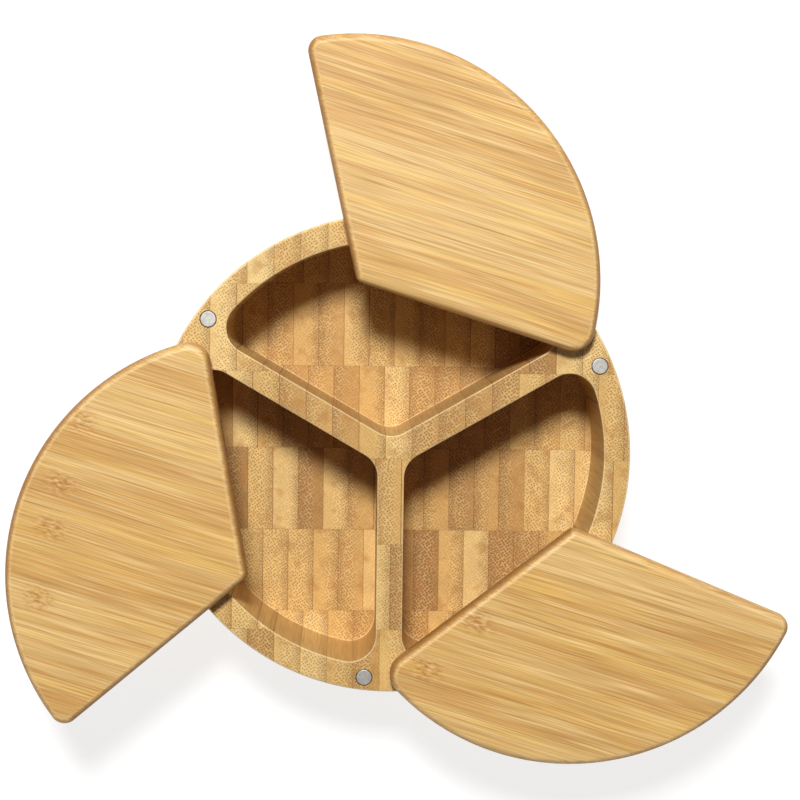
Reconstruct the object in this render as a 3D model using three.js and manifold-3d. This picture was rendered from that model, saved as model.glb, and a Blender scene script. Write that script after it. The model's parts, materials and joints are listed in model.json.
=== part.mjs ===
// A round bamboo server with three wells. Each well has its own sector-shaped lid. The lid swivels on a
// steel pin near one of its outer corners, and a pair of disc magnets at the other corner holds it shut.
//
// Millimetres, +Z up. The origin is the centre of the underside. The three sectors are named rear, left
// and right, and the lids stand part open, as they do when the server is laid out for use.

import * as THREE from 'three';
import { mergeVertices } from 'three/addons/utils/BufferGeometryUtils.js';
import Module from 'manifold-3d';

// Driving dimensions.
const serverRadius = 76;
const bodyHeight = 42;
const floorThickness = 10;
const wallThickness = 8.4;
const wellCornerRadius = 8.4;
const wellMouthChamfer = 0.5;
const rimEase = 0.8;
const baseEase = 1.6;

const lidRadius = 76.4;
const lidThickness = 7;
const lidRoundover = 2.7;
const lidLift = 0.4;
const lidHalfGap = 0.3;
const lidPivotCornerRadius = 6.8;
const lidFreeCornerRadius = 4.6;
const lidApexRadius = 2.9;

const pinRadius = 2;
const pinLength = 17.5;
const pinDepthInBody = 13.5;
const pinChamfer = 0.4;

const magnetRadius = 2.5;
const magnetThickness = 3;
const magnetEase = 0.2;
const magnetCentreRadius = 71.8;
const magnetAngleFromDivider = 6.2;

const fitClearance = 0.3;
const cutterOverrun = 2;

const roundSegments = 96;
const holeSegments = 24;
const arcDivisions = 10;
const roundoverSegments = 4;
const bodyEaseSegments = 3;
const magnetEaseSegments = 1;

// Each sector runs anticlockwise from its pivot end to its free end.
// Its lid has turned clockwise by openAngle.
const sectors = [
  { name: 'rear', startAngle: 30, openAngle: 47.4 },
  { name: 'left', startAngle: 150, openAngle: 49.8 },
  { name: 'right', startAngle: 270, openAngle: 52.3 },
];
const sectorSweep = 360 / sectors.length;

const radians = THREE.MathUtils.degToRad;

const wasm = await Module();
wasm.setup();

const bodyMaterial = new THREE.MeshStandardMaterial({ color: 0xc99c64, roughness: 0.6, metalness: 0 });
const lidMaterial = new THREE.MeshStandardMaterial({ color: 0xdfb471, roughness: 0.5, metalness: 0 });
const pinMaterial = new THREE.MeshStandardMaterial({ color: 0x9a9c9e, roughness: 0.35, metalness: 1 });
const magnetMaterial = new THREE.MeshStandardMaterial({ color: 0xc9cacb, roughness: 0.25, metalness: 1 });

// Solids: a closed three.js geometry becomes a manifold to be cut, and comes back as a geometry.
function toSolid(geometry) {
  const positionOnly = new THREE.BufferGeometry();
  positionOnly.setAttribute('position', geometry.getAttribute('position'));
  positionOnly.setIndex(geometry.getIndex());
  const merged = mergeVertices(positionOnly, 1e-4);
  return new wasm.Manifold(new wasm.Mesh({
    numProp: 3,
    vertProperties: new Float32Array(merged.getAttribute('position').array),
    triVerts: new Uint32Array(merged.getIndex().array),
  }));
}

function toGeometry(solid) {
  const mesh = solid.getMesh();
  const geometry = new THREE.BufferGeometry();
  geometry.setAttribute('position', new THREE.BufferAttribute(mesh.vertProperties, 3));
  geometry.setIndex(new THREE.BufferAttribute(mesh.triVerts, 1));
  geometry.computeVertexNormals();
  return geometry;
}

function cutAll(geometry, cutters) {
  let solid = toSolid(geometry);
  for (const cutter of cutters) {
    solid = solid.subtract(toSolid(cutter));
  }
  return toGeometry(solid);
}

function polar(radius, angle) {
  return new THREE.Vector2(radius * Math.cos(radians(angle)), radius * Math.sin(radians(angle)));
}

// A turned solid about Z, from the outline of its half section given as [radius, height] points.
function turned(points, segments) {
  const profile = points.map(([radius, height]) => new THREE.Vector2(radius, height));
  return new THREE.LatheGeometry(profile, segments).rotateX(Math.PI / 2);
}

// The points of a quarter-round edge, from one end of it to the other.
function easedEdge(centreRadius, centreHeight, edgeRadius, fromAngle, steps) {
  return Array.from({ length: steps + 1 }, (unused, step) => {
    const angle = radians(fromAngle + (90 * step) / steps);
    return [centreRadius + edgeRadius * Math.cos(angle), centreHeight + edgeRadius * Math.sin(angle)];
  });
}

function hole(centre, radius, bottom, depth) {
  return new THREE.CylinderGeometry(radius, radius, depth, holeSegments)
    .rotateX(Math.PI / 2)
    .translate(centre.x, centre.y, bottom + depth / 2);
}

// How far a corner's centre lies round from the side of its sector, when the corner touches side and rim.
function cornerInset(halfGap, cornerRadius, outerRadius) {
  return THREE.MathUtils.radToDeg(Math.asin((halfGap + cornerRadius) / (outerRadius - cornerRadius)));
}

// A sector with straight sides set back by halfGap from its two radii, and all three corners rounded.
function sectorOutline({ startAngle, outerRadius, halfGap, startCorner, endCorner, apexCorner }) {
  const endAngle = startAngle + sectorSweep;
  const startCentreAngle = startAngle + cornerInset(halfGap, startCorner, outerRadius);
  const endCentreAngle = endAngle - cornerInset(halfGap, endCorner, outerRadius);
  const startCentre = polar(outerRadius - startCorner, startCentreAngle);
  const endCentre = polar(outerRadius - endCorner, endCentreAngle);
  const apexDistance = (halfGap + apexCorner) / Math.sin(radians(sectorSweep / 2));
  const apexCentre = polar(apexDistance, startAngle + sectorSweep / 2);

  const corner = (shape, centre, radius, from, to) =>
    shape.absarc(centre.x, centre.y, radius, radians(from), radians(to), false);
  const outline = new THREE.Shape();
  corner(outline, startCentre, startCorner, startAngle - 90, startCentreAngle);
  corner(outline, { x: 0, y: 0 }, outerRadius, startCentreAngle, endCentreAngle);
  corner(outline, endCentre, endCorner, endCentreAngle, endAngle + 90);
  corner(outline, apexCentre, apexCorner, endAngle + 90, startAngle + 270);
  return outline;
}

// The pivot is the centre of the lid's rounded corner, so the corner turns within its own outline.
function pivotPoint(startAngle) {
  const inset = cornerInset(lidHalfGap, lidPivotCornerRadius, lidRadius);
  return polar(lidRadius - lidPivotCornerRadius, startAngle + inset);
}

function magnetPoint(startAngle) {
  return polar(magnetCentreRadius, startAngle + sectorSweep - magnetAngleFromDivider);
}

function wellCutters(startAngle) {
  const outline = sectorOutline({
    startAngle,
    outerRadius: serverRadius - wallThickness,
    halfGap: wallThickness / 2,
    startCorner: wellCornerRadius,
    endCorner: wellCornerRadius,
    apexCorner: wellCornerRadius,
  });
  const wellDepth = bodyHeight - floorThickness;
  const well = new THREE.ExtrudeGeometry(outline, {
    depth: wellDepth + cutterOverrun,
    curveSegments: arcDivisions,
    bevelEnabled: false,
  }).translate(0, 0, floorThickness);
  const mouth = new THREE.ExtrudeGeometry(outline, {
    depth: cutterOverrun,
    curveSegments: arcDivisions,
    bevelThickness: wellMouthChamfer,
    bevelSize: wellMouthChamfer,
    bevelSegments: 1,
  }).translate(0, 0, bodyHeight);
  return [well, mouth];
}

function makeBody() {
  const block = turned([
    [0, 0],
    ...easedEdge(serverRadius - baseEase, baseEase, baseEase, -90, bodyEaseSegments),
    ...easedEdge(serverRadius - rimEase, bodyHeight - rimEase, rimEase, 0, bodyEaseSegments),
    [0, bodyHeight],
  ], roundSegments);
  const pocketDepth = magnetThickness + fitClearance;
  const pinHoleDepth = pinDepthInBody + fitClearance;
  const cutters = sectors.flatMap(({ startAngle }) => [
    ...wellCutters(startAngle),
    hole(pivotPoint(startAngle), pinRadius + fitClearance,
      bodyHeight - pinHoleDepth, pinHoleDepth + cutterOverrun),
    hole(magnetPoint(startAngle), magnetRadius + fitClearance,
      bodyHeight - pocketDepth, pocketDepth + cutterOverrun),
  ]);
  return cutAll(block, cutters);
}

// A lid lies with its underside at height 0, where it would be if it were shut.
function makeLid(startAngle) {
  const outline = sectorOutline({
    startAngle,
    outerRadius: lidRadius - lidRoundover,
    halfGap: lidHalfGap + lidRoundover,
    startCorner: lidPivotCornerRadius - lidRoundover,
    endCorner: lidFreeCornerRadius - lidRoundover,
    apexCorner: lidApexRadius - lidRoundover,
  });
  const slab = new THREE.ExtrudeGeometry(outline, {
    depth: lidThickness - 2 * lidRoundover,
    curveSegments: arcDivisions,
    bevelThickness: lidRoundover,
    bevelSize: lidRoundover,
    bevelSegments: roundoverSegments,
  }).translate(0, 0, lidRoundover);
  const pinHoleDepth = pinLength - pinDepthInBody - lidLift + fitClearance;
  const pocketDepth = magnetThickness + 2 * fitClearance;
  return cutAll(slab, [
    hole(pivotPoint(startAngle), pinRadius + fitClearance, -cutterOverrun, pinHoleDepth + cutterOverrun),
    hole(magnetPoint(startAngle), magnetRadius + fitClearance, -cutterOverrun, pocketDepth + cutterOverrun),
  ]);
}

function makePin() {
  return turned([
    [0, 0],
    [pinRadius - pinChamfer, 0],
    [pinRadius, pinChamfer],
    [pinRadius, pinLength - pinChamfer],
    [pinRadius - pinChamfer, pinLength],
    [0, pinLength],
  ], holeSegments);
}

function makeMagnet() {
  return turned([
    [0, 0],
    ...easedEdge(magnetRadius - magnetEase, magnetEase, magnetEase, -90, magnetEaseSegments),
    ...easedEdge(magnetRadius - magnetEase, magnetThickness - magnetEase, magnetEase, 0, magnetEaseSegments),
    [0, magnetThickness],
  ], holeSegments);
}

function named(name, geometry, material) {
  const mesh = new THREE.Mesh(geometry, material.clone());
  mesh.name = name;
  return mesh;
}

// The parts of one sector that stay with the body: its pivot pin and the magnet in the rim.
function addFixedParts(parent, { name, startAngle }) {
  const pivot = pivotPoint(startAngle);
  const pin = named(`pivot_pin_${name}`, makePin(), pinMaterial);
  pin.position.set(pivot.x, pivot.y, bodyHeight - pinDepthInBody);
  const place = magnetPoint(startAngle);
  const magnet = named(`rim_magnet_${name}`, makeMagnet(), magnetMaterial);
  magnet.position.set(place.x, place.y, bodyHeight - magnetThickness);
  parent.add(pin, magnet);
}

// The lid and its magnet hang in a group at the pivot, and the group's turn opens them.
function addLid(parent, { name, startAngle, openAngle }) {
  const pivot = pivotPoint(startAngle);
  const swivel = new THREE.Group();
  swivel.position.set(pivot.x, pivot.y, bodyHeight + lidLift);
  swivel.rotation.z = -radians(openAngle);
  const lid = named(`lid_${name}`, makeLid(startAngle), lidMaterial);
  lid.position.set(-pivot.x, -pivot.y, 0);
  const place = magnetPoint(startAngle);
  const magnet = named(`lid_magnet_${name}`, makeMagnet(), magnetMaterial);
  magnet.position.set(place.x - pivot.x, place.y - pivot.y, fitClearance / 2);
  swivel.add(lid, magnet);
  parent.add(swivel);
}

const server = new THREE.Group();
server.add(named('server_body', makeBody(), bodyMaterial));
for (const sector of sectors) {
  addFixedParts(server, sector);
  addLid(server, sector);
}

export default server;
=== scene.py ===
"""Looks for a round bamboo server with three wells and three swivel lids.

The body is one block of end-grain bamboo, the lids are long-grain bamboo boards, the magnets are nickel
plated and the pivot pins are steel. Everything is in metres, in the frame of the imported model.
"""

import json
import math
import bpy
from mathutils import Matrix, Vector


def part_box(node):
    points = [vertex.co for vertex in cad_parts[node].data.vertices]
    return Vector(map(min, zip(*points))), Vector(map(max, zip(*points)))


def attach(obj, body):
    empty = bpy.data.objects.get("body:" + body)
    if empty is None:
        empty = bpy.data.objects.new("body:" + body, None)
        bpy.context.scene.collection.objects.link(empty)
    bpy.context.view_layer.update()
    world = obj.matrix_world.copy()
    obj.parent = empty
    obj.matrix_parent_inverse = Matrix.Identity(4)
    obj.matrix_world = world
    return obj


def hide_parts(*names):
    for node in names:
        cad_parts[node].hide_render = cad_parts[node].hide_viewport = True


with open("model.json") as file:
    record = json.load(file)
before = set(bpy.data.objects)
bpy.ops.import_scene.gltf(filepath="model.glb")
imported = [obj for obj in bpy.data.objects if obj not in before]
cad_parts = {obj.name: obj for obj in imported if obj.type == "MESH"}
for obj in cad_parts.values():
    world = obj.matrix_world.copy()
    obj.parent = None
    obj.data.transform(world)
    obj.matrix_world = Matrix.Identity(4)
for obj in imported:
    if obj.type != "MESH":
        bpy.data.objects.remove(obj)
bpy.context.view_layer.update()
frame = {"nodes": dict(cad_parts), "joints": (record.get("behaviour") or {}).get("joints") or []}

from types import SimpleNamespace

import bmesh
import bpy
from mathutils import Matrix, Vector

MM = 0.001

# Sizes that the frame gives.
BODY_LOW, BODY_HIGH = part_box("server_body")
BODY_RADIUS = BODY_HIGH.x
BODY_TOP = BODY_HIGH.z
LID_LOW, LID_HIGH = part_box("lid_rear")
PIVOTS = {joint["child"]: Vector(joint["pos_m"]) for joint in frame["joints"]}
OPEN_ANGLES = {joint["child"]: joint["range_deg"][1] for joint in frame["joints"]}

# Sizes of the woodwork.
SECTOR_STARTS = {"rear": 30, "left": 150, "right": 270}
SECTOR_SWEEP = 120
WALL = 8.4 * MM
FLOOR_HEIGHT = 10 * MM
WELL_CORNER = 8.4 * MM
WELL_MOUTH_EASE = 0.5 * MM
WELL_FLOOR_FILLET = 0.35 * MM
RIM_EASE = 0.8 * MM
BASE_EASE = 1.6 * MM

LID_RADIUS = 76.4 * MM
LID_HALF_GAP = 0.3 * MM
LID_PIVOT_CORNER = 6.8 * MM
LID_FREE_CORNER = 4.6 * MM
LID_APEX_CORNER = 2.9 * MM
LID_ROUNDOVER = 2.7 * MM

PIN_HOLE_RADIUS = 2.2 * MM
PIN_HOLE_DEPTH_IN_LID = 3.9 * MM
PIN_HOLE_DEPTH_IN_BODY = 13.8 * MM
MAGNET_RADIUS = 2.5 * MM
MAGNET_EASE = 0.25 * MM
POCKET_RADIUS = 2.72 * MM
POCKET_DEPTH = 3.3 * MM
MAGNET_CENTRE_RADIUS = 71.8 * MM
MAGNET_ANGLE_FROM_DIVIDER = 6.2

# Sizes of the bamboo's blocks and strips, in the millimetres that the materials use.
# The offset keeps every strip's number above 0.
BLOCK_WIDTH = 8.4
BLOCK_LENGTH = 27.4
STRIP_WIDTH = 8.6
STRIP_OFFSET = 200.0

# How finely the curves are cut.
RIM_SEGMENTS = 288
RIM_ARC_SEGMENTS = 96
CORNER_SEGMENTS = 20
HOLE_SEGMENTS = 48
EASE_STEPS = 6


# ---------------------------------------------------------------- camera, lights and floor

def make_camera():
    """The camera looks down from nearly straight above, from a little towards the rear left."""
    height_above_rim = 0.5755
    stand = Vector((-0.0126, 0.0623, BODY_TOP + height_above_rim))
    target = Vector((0.0026, 0.0176, BODY_TOP))
    roll = math.radians(0.74)
    data = bpy.data.cameras.new("camera")
    data.sensor_width = 36
    data.lens = 82.35
    data.clip_start = 0.01
    data.clip_end = 50
    camera = bpy.data.objects.new("camera", data)
    bpy.context.scene.collection.objects.link(camera)
    forward = (target - stand).normalized()
    right = forward.cross(Vector((0, 1, 0))).normalized()
    up = right.cross(forward)
    turned_right = right * math.cos(roll) + up * math.sin(roll)
    turned_up = up * math.cos(roll) - right * math.sin(roll)
    axes = Matrix((turned_right, turned_up, -forward)).transposed()
    camera.matrix_world = Matrix.Translation(stand) @ axes.to_4x4()
    bpy.context.scene.camera = camera


def make_softbox(place, target, side, watts, colour):
    """A square light at place that faces target."""
    data = bpy.data.lights.new("softbox", "AREA")
    data.shape = "RECTANGLE"
    data.size = side
    data.size_y = side
    data.energy = watts
    data.color = colour
    softbox = bpy.data.objects.new("softbox", data)
    bpy.context.scene.collection.objects.link(softbox)
    facing = (target - place).to_track_quat("-Z", "Y").to_matrix()
    softbox.matrix_world = Matrix.Translation(place) @ facing.to_4x4()


def make_lights():
    """One softbox above and behind, and a weak even surround, so that the wells have deep shadows."""
    scene = bpy.context.scene
    scene.view_settings.view_transform = "Standard"
    world = bpy.data.worlds.new("surround")
    scene.world = world
    world.use_nodes = True
    background = world.node_tree.nodes["Background"]
    background.inputs["Color"].default_value = (1.0, 1.0, 1.0, 1)
    background.inputs["Strength"].default_value = 0.10
    make_softbox(
        place=Vector((-0.12, 0.74, 1.34)),
        target=Vector((0, 0, 0.03)),
        side=0.28,
        watts=24.5,
        colour=(1.0, 0.99, 0.97))


def make_floor():
    """A white table that glows a little, like a light table, and curves up into a wall far away all round.

    The glow keeps the shadows on it pale.
    """
    flat_radius = 9.0
    curve_radius = 1.6
    curve_steps = 16
    wall_height = 0.7
    paleness = 0.30
    glow = 0.78
    profile = [(flat_radius * share, 0.0) for share in (0.02, 0.1, 0.3, 1.0)]
    for step in range(1, curve_steps + 1):
        angle = math.pi / 2 * step / curve_steps
        profile.append((flat_radius + curve_radius * math.sin(angle), curve_radius * (1 - math.cos(angle))))
    profile.append((flat_radius + curve_radius, curve_radius + wall_height))
    skin = Skin()
    rings = [skin.ring(circle(Vector((0, 0)), radius, RIM_SEGMENTS), height) for radius, height in profile]
    skin.stack(rings)
    skin.cap(rings[0])
    material = bpy.data.materials.new("pale_sweep")
    material.use_nodes = True
    shader = material.node_tree.nodes["Principled BSDF"]
    shader.inputs["Base Color"].default_value = (paleness, paleness, paleness, 1)
    shader.inputs["Roughness"].default_value = 0.9
    shader.inputs["Emission Color"].default_value = (1.0, 1.0, 1.0, 1)
    shader.inputs["Emission Strength"].default_value = glow
    skin.finish("pale_sweep", material)


# ---------------------------------------------------------------- outlines

def polar(radius, degrees):
    return Vector((radius * math.cos(math.radians(degrees)), radius * math.sin(math.radians(degrees))))


def arc(centre, radius, start, end, segments):
    """Points along an arc, both ends included, in degrees."""
    return [centre + polar(radius, start + (end - start) * step / segments) for step in range(segments + 1)]


def circle(centre, radius, segments):
    return [centre + polar(radius, 360 * step / segments) for step in range(segments)]


def corner_inset(half_gap, corner, outer):
    return math.degrees(math.asin((half_gap + corner) / (outer - corner)))


def sector_outline(start, outer, half_gap, start_corner, end_corner, apex_corner, grow=0.0):
    """The rounded outline of one sector, moved outwards everywhere by grow."""
    end = start + SECTOR_SWEEP
    start_centre_angle = start + corner_inset(half_gap, start_corner, outer)
    end_centre_angle = end - corner_inset(half_gap, end_corner, outer)
    start_centre = polar(outer - start_corner, start_centre_angle)
    end_centre = polar(outer - end_corner, end_centre_angle)
    apex_distance = (half_gap + apex_corner) / math.sin(math.radians(SECTOR_SWEEP / 2))
    apex_centre = polar(apex_distance, start + SECTOR_SWEEP / 2)
    origin = Vector((0, 0))
    points = arc(start_centre, start_corner + grow, start - 90, start_centre_angle, CORNER_SEGMENTS)
    points += arc(origin, outer + grow, start_centre_angle, end_centre_angle, RIM_ARC_SEGMENTS)[1:]
    points += arc(end_centre, end_corner + grow, end_centre_angle, end + 90, CORNER_SEGMENTS)[1:]
    points += arc(apex_centre, apex_corner + grow, end + 90, start + 270, CORNER_SEGMENTS)
    return points


def well_outline(start, grow):
    return sector_outline(start, BODY_RADIUS - WALL, WALL / 2, WELL_CORNER, WELL_CORNER, WELL_CORNER, grow)


def lid_outline(start, grow):
    return sector_outline(
        start, LID_RADIUS, LID_HALF_GAP, LID_PIVOT_CORNER, LID_FREE_CORNER, LID_APEX_CORNER, grow)


def magnet_point(start):
    return polar(MAGNET_CENTRE_RADIUS, start + SECTOR_SWEEP - MAGNET_ANGLE_FROM_DIVIDER)


def lid_pivot_point(start):
    inset = corner_inset(LID_HALF_GAP, LID_PIVOT_CORNER, LID_RADIUS)
    return polar(LID_RADIUS - LID_PIVOT_CORNER, start + inset)


def quarter_round(radius, steps, rising):
    """Steps round a quarter circle as (outward, upward) offsets, from its lower end to its upper end."""
    points = []
    for step in range(steps + 1):
        angle = math.pi / 2 * step / steps
        if rising:
            points.append((radius * (math.cos(angle) - 1), radius * math.sin(angle)))
        else:
            points.append((radius * (math.sin(angle) - 1), radius * (1 - math.cos(angle))))
    return points


# ---------------------------------------------------------------- mesh building

class Skin:
    """A closed mesh, made from rings of points that are joined by bands and closed by flat faces."""

    def __init__(self):
        self.mesh = bmesh.new()

    def ring(self, points, height):
        return [self.mesh.verts.new((point.x, point.y, height)) for point in points]

    def band(self, lower, upper):
        count = len(lower)
        for index in range(count):
            following = (index + 1) % count
            self.mesh.faces.new((lower[index], lower[following], upper[following], upper[index]))

    def stack(self, rings):
        for lower, upper in zip(rings, rings[1:]):
            self.band(lower, upper)

    def cap(self, ring):
        self.mesh.faces.new(ring)

    def plate(self, rings):
        """Fills the flat area between an outer ring and the holes in it."""
        edges = []
        for ring in rings:
            for index, vertex in enumerate(ring):
                edges.append(self.mesh.edges.get((vertex, ring[(index + 1) % len(ring)])))
        bmesh.ops.triangle_fill(self.mesh, use_beauty=True, use_dissolve=False, edges=edges)

    def pocket(self, centre, radius, mouth_height, depth):
        """A round blind hole that opens at mouth_height. Its depth is negative when it opens downwards."""
        mouth = self.ring(circle(centre, radius, HOLE_SEGMENTS), mouth_height)
        bottom = self.ring(circle(centre, radius, HOLE_SEGMENTS), mouth_height - depth)
        self.band(mouth, bottom)
        self.cap(bottom)
        return mouth

    def finish(self, name, material, sharp_degrees=50):
        bmesh.ops.recalc_face_normals(self.mesh, faces=self.mesh.faces)
        data = bpy.data.meshes.new(name)
        self.mesh.to_mesh(data)
        self.mesh.free()
        data.materials.append(material)
        data.shade_smooth()
        data.set_sharp_from_angle(angle=math.radians(sharp_degrees))
        piece = bpy.data.objects.new(name, data)
        bpy.context.scene.collection.objects.link(piece)
        normals = piece.modifiers.new("flat_faces_stay_flat", "WEIGHTED_NORMAL")
        normals.keep_sharp = True
        normals.weight = 100
        return piece


def body_outside(skin):
    """The underside, the outer wall and its two eased edges. Returns the ring at the top."""
    rings = []
    centre = Vector((0, 0))
    for outward, upward in quarter_round(BASE_EASE, EASE_STEPS, rising=False):
        rings.append(skin.ring(circle(centre, BODY_RADIUS + outward, RIM_SEGMENTS), BODY_LOW.z + upward))
    for outward, upward in quarter_round(RIM_EASE, EASE_STEPS, rising=True):
        height = BODY_TOP - RIM_EASE + upward
        rings.append(skin.ring(circle(centre, BODY_RADIUS + outward, RIM_SEGMENTS), height))
    skin.stack(rings)
    skin.cap(rings[0])
    return rings[-1]


def body_well(skin, start):
    """One well, from its eased mouth down its wall to the floor. Returns the ring at the mouth."""
    rings = []
    for outward, upward in reversed(quarter_round(WELL_MOUTH_EASE, EASE_STEPS, rising=True)):
        height = BODY_TOP - WELL_MOUTH_EASE + upward
        rings.append(skin.ring(well_outline(start, -outward), height))
    for outward, upward in reversed(quarter_round(WELL_FLOOR_FILLET, EASE_STEPS // 2, rising=False)):
        rings.append(skin.ring(well_outline(start, outward), FLOOR_HEIGHT + upward))
    skin.stack(rings)
    skin.cap(rings[-1])
    return rings[0]


def make_body(material):
    skin = Skin()
    mouths = [body_outside(skin)]
    for start in SECTOR_STARTS.values():
        mouths.append(body_well(skin, start))
        mouths.append(skin.pocket(magnet_point(start), POCKET_RADIUS, BODY_TOP, POCKET_DEPTH))
        mouths.append(skin.pocket(lid_pivot_point(start), PIN_HOLE_RADIUS, BODY_TOP, PIN_HOLE_DEPTH_IN_BODY))
    skin.plate(mouths)
    body = skin.finish("bamboo_body", material)
    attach(body, "base")
    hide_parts("server_body")


def make_lid(name, start, material):
    """A lid is built shut, then turned open about its pivot into the place where the frame has it."""
    skin = Skin()
    low, high = LID_LOW.z, LID_HIGH.z
    rings = []
    for outward, upward in quarter_round(LID_ROUNDOVER, EASE_STEPS + 2, rising=False):
        rings.append(skin.ring(lid_outline(start, outward), low + upward))
    for outward, upward in quarter_round(LID_ROUNDOVER, EASE_STEPS + 2, rising=True):
        rings.append(skin.ring(lid_outline(start, outward), high - LID_ROUNDOVER + upward))
    skin.stack(rings)
    skin.cap(rings[-1])
    holes = [
        skin.pocket(lid_pivot_point(start), PIN_HOLE_RADIUS, low, -PIN_HOLE_DEPTH_IN_LID),
        skin.pocket(magnet_point(start), POCKET_RADIUS, low, -POCKET_DEPTH),
    ]
    skin.plate([rings[0], *holes])
    body_name = f"lid_{name}"
    pivot = PIVOTS[body_name]
    about_pivot = Matrix.Translation(pivot)
    turn = Matrix.Rotation(math.radians(-OPEN_ANGLES[body_name]), 4, "Z")
    skin.mesh.transform(about_pivot @ turn @ about_pivot.inverted())
    lid = skin.finish(f"lid_{name}_board", material)
    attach(lid, body_name)
    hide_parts(body_name)


def make_magnet(node, body_name, material):
    """A disc with eased edges, in the place of its plain CAD disc."""
    low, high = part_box(node)
    centre = ((low + high) / 2).to_2d()
    skin = Skin()
    rings = []
    for outward, upward in quarter_round(MAGNET_EASE, EASE_STEPS // 2, rising=False):
        rings.append(skin.ring(circle(centre, MAGNET_RADIUS + outward, HOLE_SEGMENTS), low.z + upward))
    for outward, upward in quarter_round(MAGNET_EASE, EASE_STEPS // 2, rising=True):
        height = high.z - MAGNET_EASE + upward
        rings.append(skin.ring(circle(centre, MAGNET_RADIUS + outward, HOLE_SEGMENTS), height))
    skin.stack(rings)
    skin.cap(rings[0])
    skin.cap(rings[-1])
    magnet = skin.finish(f"{node}_disc", material)
    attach(magnet, body_name)
    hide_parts(node)


# ---------------------------------------------------------------- materials

class Wiring:
    """Short names for wiring a material's nodes. Each method that makes a node returns its output sockets."""

    def __init__(self, name):
        self.material = bpy.data.materials.new(name)
        self.material.use_nodes = True
        self.tree = self.material.node_tree
        self.shader = self.tree.nodes["Principled BSDF"]

    def node(self, kind, **settings):
        made = self.tree.nodes.new(kind)
        for key, value in settings.items():
            setattr(made, key, value)
        return made

    def feed(self, socket, value):
        if isinstance(value, bpy.types.NodeSocket):
            self.tree.links.new(value, socket)
        else:
            socket.default_value = value

    def math(self, operation, *values):
        made = self.node("ShaderNodeMath", operation=operation)
        for socket, value in zip(made.inputs, values):
            self.feed(socket, value)
        return made.outputs[0]

    def add(self, a, b):
        return self.math("ADD", a, b)

    def subtract(self, a, b):
        return self.math("SUBTRACT", a, b)

    def times(self, a, b):
        return self.math("MULTIPLY", a, b)

    def divide(self, a, b):
        return self.math("DIVIDE", a, b)

    def floor(self, a):
        return self.math("FLOOR", a)

    def fraction(self, a):
        return self.math("FRACT", a)

    def position(self):
        """The point on the piece, in millimetres."""
        coordinates = self.node("ShaderNodeTexCoord").outputs["Object"]
        scaled = self.node("ShaderNodeVectorMath", operation="SCALE")
        self.feed(scaled.inputs[0], coordinates)
        scaled.inputs["Scale"].default_value = 1 / MM
        return scaled.outputs[0]

    def normal(self):
        """The direction that the piece's surface faces, in the piece's own frame."""
        return self.node("ShaderNodeTexCoord").outputs["Normal"]

    def split(self, vector):
        made = self.node("ShaderNodeSeparateXYZ")
        self.feed(made.inputs[0], vector)
        return made.outputs[0], made.outputs[1], made.outputs[2]

    def join(self, x, y, z):
        made = self.node("ShaderNodeCombineXYZ")
        for socket, value in zip(made.inputs, (x, y, z)):
            self.feed(socket, value)
        return made.outputs[0]

    def random(self, x, y, z=0.0):
        """A random number and a random colour for each whole-numbered point."""
        made = self.node("ShaderNodeTexWhiteNoise", noise_dimensions="3D")
        self.feed(made.inputs["Vector"], self.join(x, y, z))
        return made.outputs["Value"], made.outputs["Color"]

    def noise(self, vector, scale=1.0, detail=2.0, roughness=0.5):
        made = self.node("ShaderNodeTexNoise")
        self.feed(made.inputs["Vector"], vector)
        self.feed(made.inputs["Scale"], scale)
        self.feed(made.inputs["Detail"], detail)
        self.feed(made.inputs["Roughness"], roughness)
        return made.outputs[0]

    def cells(self, vector, scale=1.0, dimensions="2D", randomness=1.0):
        """The distance to the nearest of many scattered points."""
        made = self.node("ShaderNodeTexVoronoi", voronoi_dimensions=dimensions, feature="F1")
        self.feed(made.inputs["Vector"], vector)
        self.feed(made.inputs["Scale"], scale)
        self.feed(made.inputs["Randomness"], randomness)
        return made.outputs["Distance"]

    def range(self, value, from_low, from_high, to_low=0.0, to_high=1.0, smooth=False):
        made = self.node("ShaderNodeMapRange", interpolation_type="SMOOTHSTEP" if smooth else "LINEAR")
        self.feed(made.inputs["Value"], value)
        self.feed(made.inputs["From Min"], from_low)
        self.feed(made.inputs["From Max"], from_high)
        self.feed(made.inputs["To Min"], to_low)
        self.feed(made.inputs["To Max"], to_high)
        return made.outputs[0]

    def blend(self, share, first, second):
        """Mixes two colours: all of the first where share is 0, all of the second where it is 1."""
        made = self.node("ShaderNodeMix", data_type="RGBA", blend_type="MIX")
        self.feed(made.inputs[0], share)
        self.feed(made.inputs[6], first)
        self.feed(made.inputs[7], second)
        return made.outputs[2]

    def blend_value(self, share, first, second):
        return self.add(self.times(first, self.subtract(1.0, share)), self.times(second, share))

    def ramp(self, value, stops):
        made = self.node("ShaderNodeValToRGB")
        self.feed(made.inputs[0], value)
        elements = made.color_ramp.elements
        while len(elements) < len(stops):
            elements.new(0.5)
        for element, (place, colour) in zip(elements, stops):
            element.position = place
            element.color = colour
        return made.outputs[0]

    def brighten(self, colour, factor):
        """Multiplies a colour by a brightness."""
        made = self.node("ShaderNodeVectorMath", operation="SCALE")
        self.feed(made.inputs[0], colour)
        self.feed(made.inputs["Scale"], factor)
        return made.outputs[0]

    def line_at_edge(self, fraction, cell_size, inner, outer, strength):
        """A line along both edges of a cell, full strength up to inner from the edge and gone at outer."""
        from_edge = self.times(self.math("MINIMUM", fraction, self.subtract(1.0, fraction)), cell_size)
        return self.range(from_edge, inner, outer, strength, 0.0, smooth=True)

    def bump(self, height, strength, distance):
        made = self.node("ShaderNodeBump")
        self.feed(made.inputs["Height"], height)
        made.inputs["Strength"].default_value = strength
        made.inputs["Distance"].default_value = distance
        self.feed(self.shader.inputs["Normal"], made.outputs[0])


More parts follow.
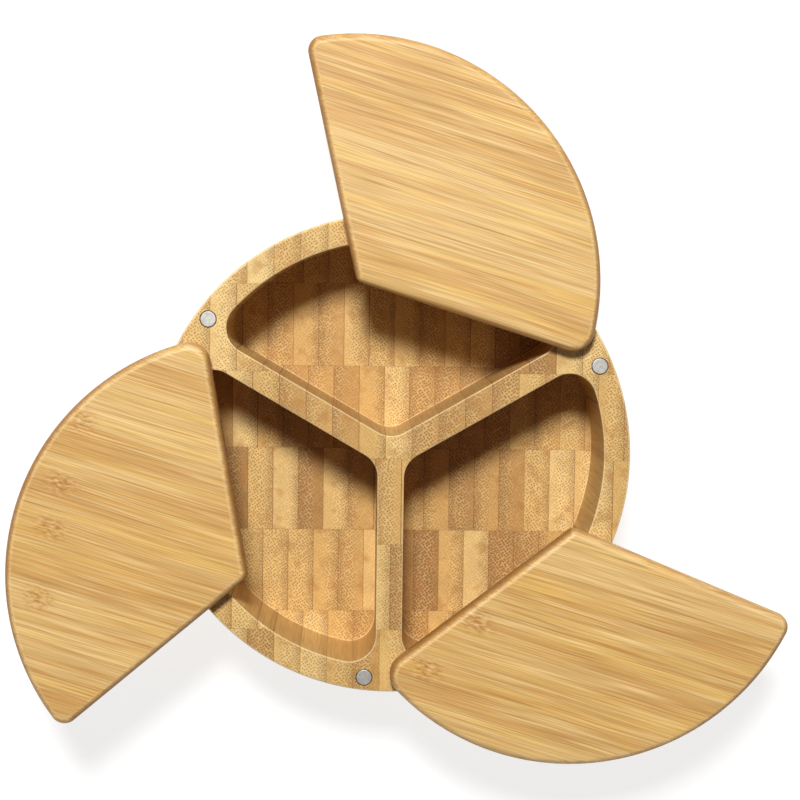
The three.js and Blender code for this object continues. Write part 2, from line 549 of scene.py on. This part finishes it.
def rgb(red, green, blue):
    """A colour as it looks on screen, from 0 to 255, as the linear colour that a shader takes."""
    def linear(value):
        share = value / 255
        return share / 12.92 if share <= 0.04045 else ((share + 0.055) / 1.055) ** 2.4
    return linear(red), linear(green), linear(blue), 1.0


def lay_blocks(w, x, y):
    """Rows of blocks, each slid sideways: which block a point is in, where in it, and its random traits."""
    row_offset = 1.1
    column_offset = 1.8
    slide_per_row = 0.62
    layout_seed = 5.0
    row_place = w.divide(w.add(y, row_offset), BLOCK_LENGTH)
    row = w.floor(row_place)
    column_place = w.add(w.divide(w.add(x, column_offset), BLOCK_WIDTH), w.times(row, slide_per_row))
    column = w.floor(column_place)
    tone, traits = w.random(column, row, layout_seed)
    side, density, ruddiness = w.split(traits)
    across = w.fraction(column_place)
    outer_on_right = w.math("GREATER_THAN", side, 0.4)
    return SimpleNamespace(
        row=row,
        column=column,
        along=w.fraction(row_place),
        across=across,
        # 1 at the block's outer side, which was nearest the culm's skin, and 0 at its inner side.
        outwardness=w.math("ABSOLUTE", w.subtract(w.subtract(1.0, outer_on_right), across)),
        tone=tone,
        density=density,
        ruddiness=ruddiness)


def bundles_end_on(w, x, y, block, flatness):
    """Fibre bundles seen end on: dark dots, close set at a block's outer side, and pale ground between."""
    lean_cosine = 0.82
    lean_sine = 0.57
    leaning_x = w.add(w.times(x, lean_cosine), w.times(y, lean_sine))
    leaning_y = w.subtract(w.times(y, lean_cosine), w.times(x, lean_sine))
    place = w.join(
        w.add(leaning_x, w.times(block.tone, 31.0)),
        w.add(leaning_y, w.times(block.density, 17.0)),
        0.0)
    wide_apart = w.cells(place, scale=1.08, randomness=0.5)
    close_set = w.cells(place, scale=1.32, randomness=0.5)
    wide_dots = w.range(wide_apart, 0.09, 0.30, 1.0, 0.0, smooth=True)
    close_dots = w.range(close_set, 0.10, 0.36, 1.0, 0.0, smooth=True)
    crowding = w.range(block.outwardness, 0.55, 0.85, 0.0, 1.0, smooth=True)
    bare_width = w.range(block.density, 0.0, 1.0, -0.3, 0.45)
    strength = w.range(w.subtract(block.outwardness, bare_width), 0.0, 0.45, 0.24, 0.76, smooth=True)
    dots = w.times(w.blend_value(crowding, wide_dots, close_dots), strength)
    dots = w.times(dots, w.range(flatness, 0.0, 1.0, 0.35, 1.0))
    paleness = w.range(wide_apart, 0.34, 0.6, 0.0, 0.36, smooth=True)
    return dots, w.times(paleness, w.times(strength, flatness))


def end_grain_bamboo():
    """Glued blocks of end grain. Their fibres stand upright, so the walls show them as fine streaks."""
    w = Wiring("end_grain_bamboo")
    x, y, z = w.split(w.position())
    facing_up = w.math("ABSOLUTE", w.split(w.normal())[2])
    flatness = w.range(facing_up, 0.35, 0.9)
    block = lay_blocks(w, x, y)
    dots, paleness = bundles_end_on(w, x, y, block, flatness)

    # Each block has its own tone, darker towards its outer side.
    colour = w.ramp(block.tone, [
        (0.0, rgb(160, 114, 63)),
        (0.15, rgb(192, 147, 86)),
        (0.40, rgb(214, 171, 102)),
        (0.75, rgb(224, 184, 114)),
        (1.0, rgb(234, 199, 133)),
    ])
    colour = w.blend(w.times(block.ruddiness, 0.25), colour, rgb(208, 158, 84))
    outer_side = w.range(block.outwardness, 0.62, 1.0, 0.0, 0.42, smooth=True)
    colour = w.blend(outer_side, colour, rgb(164, 119, 64))
    colour = w.blend(paleness, colour, rgb(247, 224, 168))
    colour = w.blend(dots, colour, rgb(98, 58, 24))

    # Slow and quick changes in brightness, and brown stains that stop at a block's edge.
    cloud = w.noise(w.join(x, y, w.times(z, 0.05)), scale=0.16, detail=2.0)
    colour = w.brighten(colour, w.range(cloud, 0.3, 0.7, 0.91, 1.06))
    stain_x = w.add(x, w.times(block.tone, 60.0))
    stain = w.noise(w.join(stain_x, y, w.times(z, 0.05)), scale=0.22, detail=3.0)
    colour = w.blend(w.range(stain, 0.5, 0.74, 0.0, 0.5, smooth=True), colour, rgb(178, 120, 58))
    weave = w.noise(w.join(x, y, w.times(z, 0.03)), scale=2.2, detail=3.0)
    colour = w.brighten(colour, w.range(weave, 0.3, 0.7, 0.93, 1.06))

    # Long grain on the walls is more even than the end grain, with upright streaks.
    colour = w.blend(w.times(w.subtract(1.0, flatness), 0.4), colour, rgb(214, 174, 108))
    streaks = w.noise(w.join(x, y, w.times(z, 0.04)), scale=1.5, detail=4.0, roughness=0.65)
    colour = w.brighten(colour, w.blend_value(flatness, w.range(streaks, 0.3, 0.7, 0.8, 1.17), 1.0))

    # Painted highlight on the eased edges: the curve between a face and a wall is painted pale where light
    # would catch it. Sanded wood there is a little paler too.
    edge = w.times(
        w.range(facing_up, 0.985, 0.9, 0.0, 1.0, smooth=True),
        w.range(facing_up, 0.2, 0.6, 0.0, 1.0, smooth=True))
    colour = w.blend(w.times(edge, 0.55), colour, rgb(244, 220, 172))

    # Glue lines between the blocks, some fainter than others.
    line_seed = 3.0
    faintness, _ = w.random(block.column, block.row, line_seed)
    column_line = w.times(
        w.line_at_edge(block.across, BLOCK_WIDTH, 0.05, 0.19, 1.0),
        w.range(faintness, 0.0, 1.0, 0.25, 0.9))
    row_line = w.line_at_edge(block.along, BLOCK_LENGTH, 0.04, 0.14, 0.35)
    glue = w.math("MAXIMUM", column_line, row_line)
    colour = w.blend(glue, colour, rgb(136, 80, 40))

    w.feed(w.shader.inputs["Base Color"], colour)
    w.feed(w.shader.inputs["Roughness"], w.range(dots, 0.0, 0.7, 0.5, 0.72))
    w.shader.inputs["Specular IOR Level"].default_value = 0.35
    height = w.subtract(w.times(weave, 0.3), w.add(dots, w.times(glue, 0.8)))
    w.bump(height, 0.4, 0.06 * MM)
    return w.material


def swirl_at_joints(w, along, across, angle, joints_in_culm):
    """1 in the middle of each of the culm's joints, falling to 0 at the end of its oval."""
    oval_length = 7.0
    oval_width = 5.2
    swirl = 0.0
    for joint_x, joint_y in joints_in_culm:
        joint_along = joint_x * math.cos(angle) + joint_y * math.sin(angle)
        joint_across = joint_y * math.cos(angle) - joint_x * math.sin(angle)
        off_along = w.divide(w.subtract(along, joint_along), oval_length)
        off_across = w.divide(w.subtract(across, joint_across), oval_width)
        distance = w.math("SQRT", w.add(w.times(off_along, off_along), w.times(off_across, off_across)))
        swirl = w.math("MAXIMUM", swirl, w.range(distance, 0.1, 1.1, 1.0, 0.0, smooth=True))
    return swirl


def bend_fibres(w, along, across, z, swirl):
    """Moves the fibres sideways: slowly along the whole board, and quickly at the culm's joints."""
    wander = w.noise(w.join(w.times(along, 0.02), w.times(across, 0.05), w.times(z, 0.05)), detail=1.0)
    curl = w.noise(w.join(w.times(along, 0.28), w.times(across, 0.3), 5.0), detail=1.0)
    bent = w.add(across, w.times(w.subtract(wander, 0.5), 1.4))
    return w.add(bent, w.times(w.times(w.subtract(curl, 0.5), 2.0), swirl))


def long_grain_bamboo(name, turn, joints_in_culm):
    """Glued strips of bamboo whose fibres lie along the board, at an angle of turn degrees.

    The fibres swirl at each place in joints_in_culm, where the bamboo's culm had a joint.
    """
    w = Wiring(f"long_grain_bamboo_{name}")
    x, y, z = w.split(w.position())
    angle = math.radians(turn)
    along = w.add(w.times(x, math.cos(angle)), w.times(y, math.sin(angle)))
    across = w.subtract(w.times(y, math.cos(angle)), w.times(x, math.sin(angle)))
    strip_place = w.divide(w.add(across, STRIP_OFFSET), STRIP_WIDTH)
    strip = w.floor(strip_place)
    strip_seed = 11.0
    tone, _ = w.random(strip, strip_seed)
    swirl = swirl_at_joints(w, along, across, angle, joints_in_culm)
    bent = bend_fibres(w, along, across, z, swirl)

    def streak(width, length, seed, detail):
        """Fibres seen lengthwise: noise drawn out along the board, and different in each strip."""
        shift_per_strip = 5.7
        vector = w.join(
            w.add(w.divide(along, length), w.times(strip, shift_per_strip)),
            w.add(w.divide(bent, width), seed),
            w.divide(z, width))
        return w.noise(vector, detail=detail, roughness=0.6)

    broad = streak(4.2, 80.0, 0.0, 2.0)
    middle = streak(1.8, 45.0, 13.0, 2.0)
    fine = streak(0.55, 40.0, 47.0, 2.0)
    hair = streak(0.36, 26.0, 29.0, 1.0)

    colour = w.ramp(tone, [
        (0.0, rgb(200, 152, 87)),
        (0.5, rgb(213, 169, 101)),
        (1.0, rgb(225, 188, 126)),
    ])
    # Each width of streak has pale ones, where its noise is high, and dark ones, where it is low.
    colour = w.blend(w.range(broad, 0.42, 0.70, 0.0, 0.7, smooth=True), colour, rgb(230, 187, 104))
    colour = w.blend(w.range(broad, 0.50, 0.28, 0.0, 0.5, smooth=True), colour, rgb(206, 155, 90))
    colour = w.blend(w.range(middle, 0.48, 0.72, 0.0, 0.7, smooth=True), colour, rgb(230, 194, 130))
    colour = w.blend(w.range(middle, 0.48, 0.25, 0.0, 0.45, smooth=True), colour, rgb(196, 142, 74))
    colour = w.blend(w.range(fine, 0.53, 0.68, 0.0, 0.6, smooth=True), colour, rgb(236, 204, 146))
    colour = w.blend(w.range(fine, 0.45, 0.30, 0.0, 0.6, smooth=True), colour, rgb(178, 124, 62))
    colour = w.brighten(colour, w.range(hair, 0.3, 0.7, 0.82, 1.18))

    # Bundles: dots where the fibres come out at the board's edges, faint lines on its faces.
    normal_x, normal_y, normal_z = w.split(w.normal())
    facing_up = w.math("ABSOLUTE", normal_z)
    bundles = w.cells(w.join(w.times(along, 0.02), bent, z), dimensions="3D", randomness=0.85)
    bundle = w.range(bundles, 0.12, 0.34, 1.0, 0.0, smooth=True)
    colour = w.blend(w.times(bundle, w.range(facing_up, 0.2, 0.95, 0.5, 0.1)), colour, rgb(132, 84, 40))

    # The culm's joints are darker, with dark and pale flecks.
    flecks = w.noise(w.join(w.times(along, 0.45), w.times(bent, 1.25), 9.0), detail=2.0)
    dark_flecks = w.range(flecks, 0.52, 0.34, 0.0, 0.7)
    pale_flecks = w.range(flecks, 0.54, 0.68, 0.0, 0.6)
    colour = w.blend(w.times(swirl, 0.35), colour, rgb(200, 142, 68))
    colour = w.blend(w.times(swirl, dark_flecks), colour, rgb(158, 102, 48))
    colour = w.blend(w.times(swirl, pale_flecks), colour, rgb(242, 212, 158))

    seam = w.line_at_edge(w.fraction(strip_place), STRIP_WIDTH, 0.03, 0.14, 0.35)
    colour = w.blend(seam, colour, rgb(168, 114, 58))

    # The edges: a painted highlight, a pale line where they start to curve over, then brown, most so across
    # the grain.
    painted_edge_highlight = w.times(
        w.range(facing_up, 0.998, 0.985, 0.0, 1.0, smooth=True),
        w.range(facing_up, 0.86, 0.94, 0.0, 1.0, smooth=True))
    colour = w.blend(w.times(painted_edge_highlight, 0.22), colour, rgb(242, 216, 166))
    along_grain = w.add(w.times(normal_x, math.cos(angle)), w.times(normal_y, math.sin(angle)))
    facing_grain = w.math("ABSOLUTE", along_grain)
    tilt = w.range(facing_up, 0.95, 0.5, 0.0, 0.5, smooth=True)
    brownness = w.math("MAXIMUM", tilt, w.range(facing_grain, 0.25, 0.75, 0.0, 1.0, smooth=True))
    colour = w.blend(brownness, colour, w.blend(0.8, colour, rgb(142, 90, 38)))

    w.feed(w.shader.inputs["Base Color"], colour)
    w.feed(w.shader.inputs["Roughness"], w.range(hair, 0.3, 0.7, 0.54, 0.42))
    w.shader.inputs["Specular IOR Level"].default_value = 0.4
    fibres = w.add(w.times(hair, 0.6), w.times(fine, 0.5))
    relief = w.add(fibres, w.times(w.times(flecks, swirl), 0.5))
    w.bump(relief, 0.3, 0.05 * MM)
    return w.material


def nickel_plate():
    """Dull plating, a little cloudy, with fine scratches."""
    w = Wiring("nickel_plate")
    x, y, z = w.split(w.position())
    cloud = w.noise(w.join(x, y, z), scale=0.9, detail=3.0)
    scratches = w.noise(w.join(w.times(x, 9.0), w.times(y, 0.7), z), detail=2.0)
    colour = w.blend(w.range(cloud, 0.3, 0.7), rgb(186, 183, 178), rgb(212, 209, 204))
    w.feed(w.shader.inputs["Base Color"], colour)
    w.shader.inputs["Metallic"].default_value = 0.75
    w.feed(w.shader.inputs["Roughness"], w.range(scratches, 0.3, 0.7, 0.42, 0.6))
    w.bump(w.add(cloud, scratches), 0.12, 0.02 * MM)
    return w.material


def ground_steel():
    """Bare steel with the fine rings that grinding leaves round a pin."""
    w = Wiring("ground_steel")
    x, y, z = w.split(w.position())
    rings = w.noise(w.join(w.times(x, 0.4), w.times(y, 0.4), w.times(z, 12.0)), detail=3.0)
    colour = w.blend(w.range(rings, 0.3, 0.7), rgb(150, 152, 155), rgb(186, 187, 189))
    w.feed(w.shader.inputs["Base Color"], colour)
    w.shader.inputs["Metallic"].default_value = 1.0
    w.feed(w.shader.inputs["Roughness"], w.range(rings, 0.3, 0.7, 0.28, 0.45))
    w.bump(rings, 0.15, 0.02 * MM)
    return w.material


# ---------------------------------------------------------------- the whole scene

def main():
    make_camera()
    make_lights()
    make_floor()
    make_body(end_grain_bamboo())
    # The grain and the places of the culm's joints, in millimetres, are given with the lids open as at rest.
    lid_grain_turn = -17
    joints_in_culm = {
        "rear": [],
        "left": [(-103, -9), (-106, -23), (-110, -45), (-97, 11)],
        "right": [(12, -67), (28, -52)],
    }
    nickel = nickel_plate()
    steel = ground_steel()
    for name, start in SECTOR_STARTS.items():
        make_lid(name, start, long_grain_bamboo(name, lid_grain_turn, joints_in_culm[name]))
        make_magnet(f"rim_magnet_{name}", "base", nickel)
        make_magnet(f"lid_magnet_{name}", f"lid_{name}", nickel)
        pin = frame["nodes"][f"pivot_pin_{name}"]
        pin.data.materials.clear()
        pin.data.materials.append(steel)


main()
